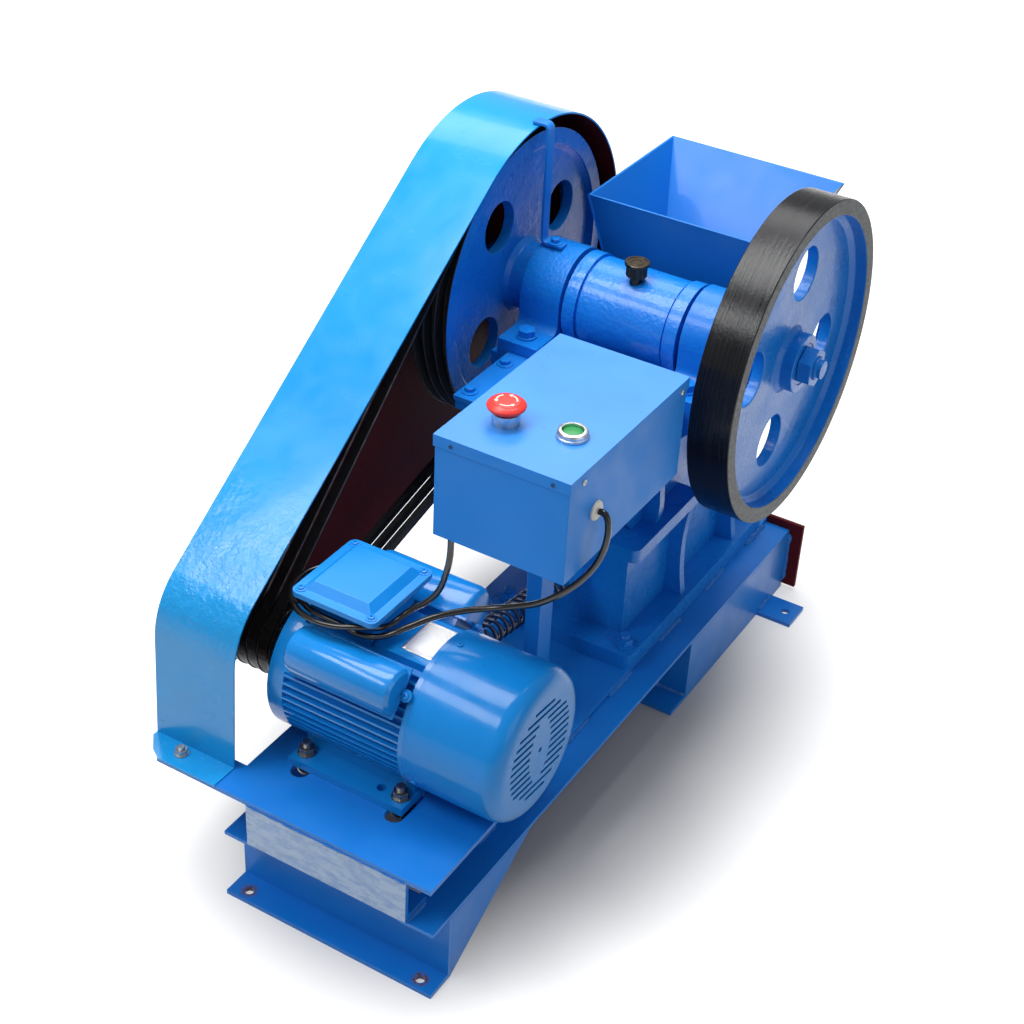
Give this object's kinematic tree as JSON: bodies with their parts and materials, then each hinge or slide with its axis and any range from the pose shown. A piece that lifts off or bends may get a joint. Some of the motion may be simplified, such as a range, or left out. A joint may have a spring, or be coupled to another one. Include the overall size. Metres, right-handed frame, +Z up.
{
  "type": "laboratory jaw crusher",
  "caption": "Small jaw crusher with flywheel, belt drive under a sheet guard, motor, hopper and control box on one welded base.",
  "frame": {"origin": "on the floor, on the crusher's mid-plane, midway between the two holes of the front foot", "axes": "+Z up, +Y from the motor end to the hopper end, +X from the belt side to the flywheel side"},
  "size_m": [0.49, 0.947, 0.717],
  "materials": {
    "blue_enamel": "gloss enamel",
    "red_primer": "matt primer",
    "zinc_steel": "zinc plated",
    "belt_rubber": "matt",
    "jaw_steel": "cast",
    "spring_steel": "oiled",
    "turned_steel": "turned",
    "black_paint": "semi-gloss",
    "clear_collar": "gloss",
    "red_plastic": "gloss",
    "silver_ring": "satin chrome",
    "green_plastic": "gloss",
    "white_plastic": "matt",
    "lead_rubber": "satin"
  },
  "bodies": {
    "root": {"base_rails": "blue_enamel", "front_foot": "blue_enamel", "front_gussets": "blue_enamel", "deck_plate": "blue_enamel", "rear_pedestal": "blue_enamel", "rear_end_plate": "red_primer", "motor_channels": "blue_enamel", "motor_plate": "blue_enamel", "motor_body": "blue_enamel", "motor_bolts": "zinc_steel", "motor_fan_cover": "blue_enamel", "terminal_box": "blue_enamel", "terminal_box_lid": "blue_enamel", "capacitor_covers": "blue_enamel", "v_belts": "belt_rubber", "belt_guard": "blue_enamel", "guard_stay": "blue_enamel", "crusher_frame": "blue_enamel", "frame_bolts": "zinc_steel", "bearing_block_left": "blue_enamel", "bearing_block_right": "blue_enamel", "bearing_bolts": "blue_enamel", "cover_plate": "blue_enamel", "hopper": "blue_enamel", "fixed_jaw_plate": "jaw_steel", "cheek_plates": "jaw_steel", "toggle_plate": "jaw_steel", "tension_rod": "zinc_steel", "tension_spring": "spring_steel", "box_post": "blue_enamel", "control_box": "blue_enamel", "control_box_lid": "blue_enamel", "stop_button_collar": "clear_collar", "start_button_ring": "silver_ring", "cord_gland": "white_plastic", "start_lead": "lead_rubber", "motor_lead": "lead_rubber"},
    "shaft": {"eccentric_shaft": "turned_steel", "flywheel": "black_paint", "drive_pulley": "blue_enamel", "shaft_nuts": "blue_enamel"},
    "swing_jaw": {"swing_jaw": "blue_enamel", "swing_jaw_plate": "jaw_steel", "grease_cup": "black_paint"},
    "motor_rotor": {"motor_shaft": "turned_steel", "motor_pulley": "black_paint"},
    "stop_button": {"stop_button": "red_plastic"},
    "start_button": {"start_button": "green_plastic"}
  },
  "joints": [
    {"name": "shaft_spin", "type": "hinge", "parent": "root", "child": "shaft", "pos_m": [0, 0.629, 0.509], "axis": [1, 0, 0], "continuous": true},
    {"name": "jaw_orbit", "type": "hinge", "parent": "shaft", "child": "swing_jaw", "pos_m": [0, 0.629, 0.505], "axis": [1, 0, 0], "continuous": true},
    {"name": "motor_spin", "type": "hinge", "parent": "root", "child": "motor_rotor", "pos_m": [0, 0.1455, 0.253], "axis": [1, 0, 0], "continuous": true},
    {"name": "stop_press", "type": "slide", "parent": "root", "child": "stop_button", "axis": [0, 0, -1], "range_m": [0, 0.003], "stiffness_N_per_m": 1500},
    {"name": "start_press", "type": "slide", "parent": "root", "child": "start_button", "axis": [0, 0, -1], "range_m": [0, 0.003], "stiffness_N_per_m": 1500}
  ],
  "couplings": [
    {"joint": "jaw_orbit", "follows": "shaft_spin", "ratio": -1},
    {"joint": "motor_spin", "follows": "shaft_spin", "ratio": 4.34}
  ]
}
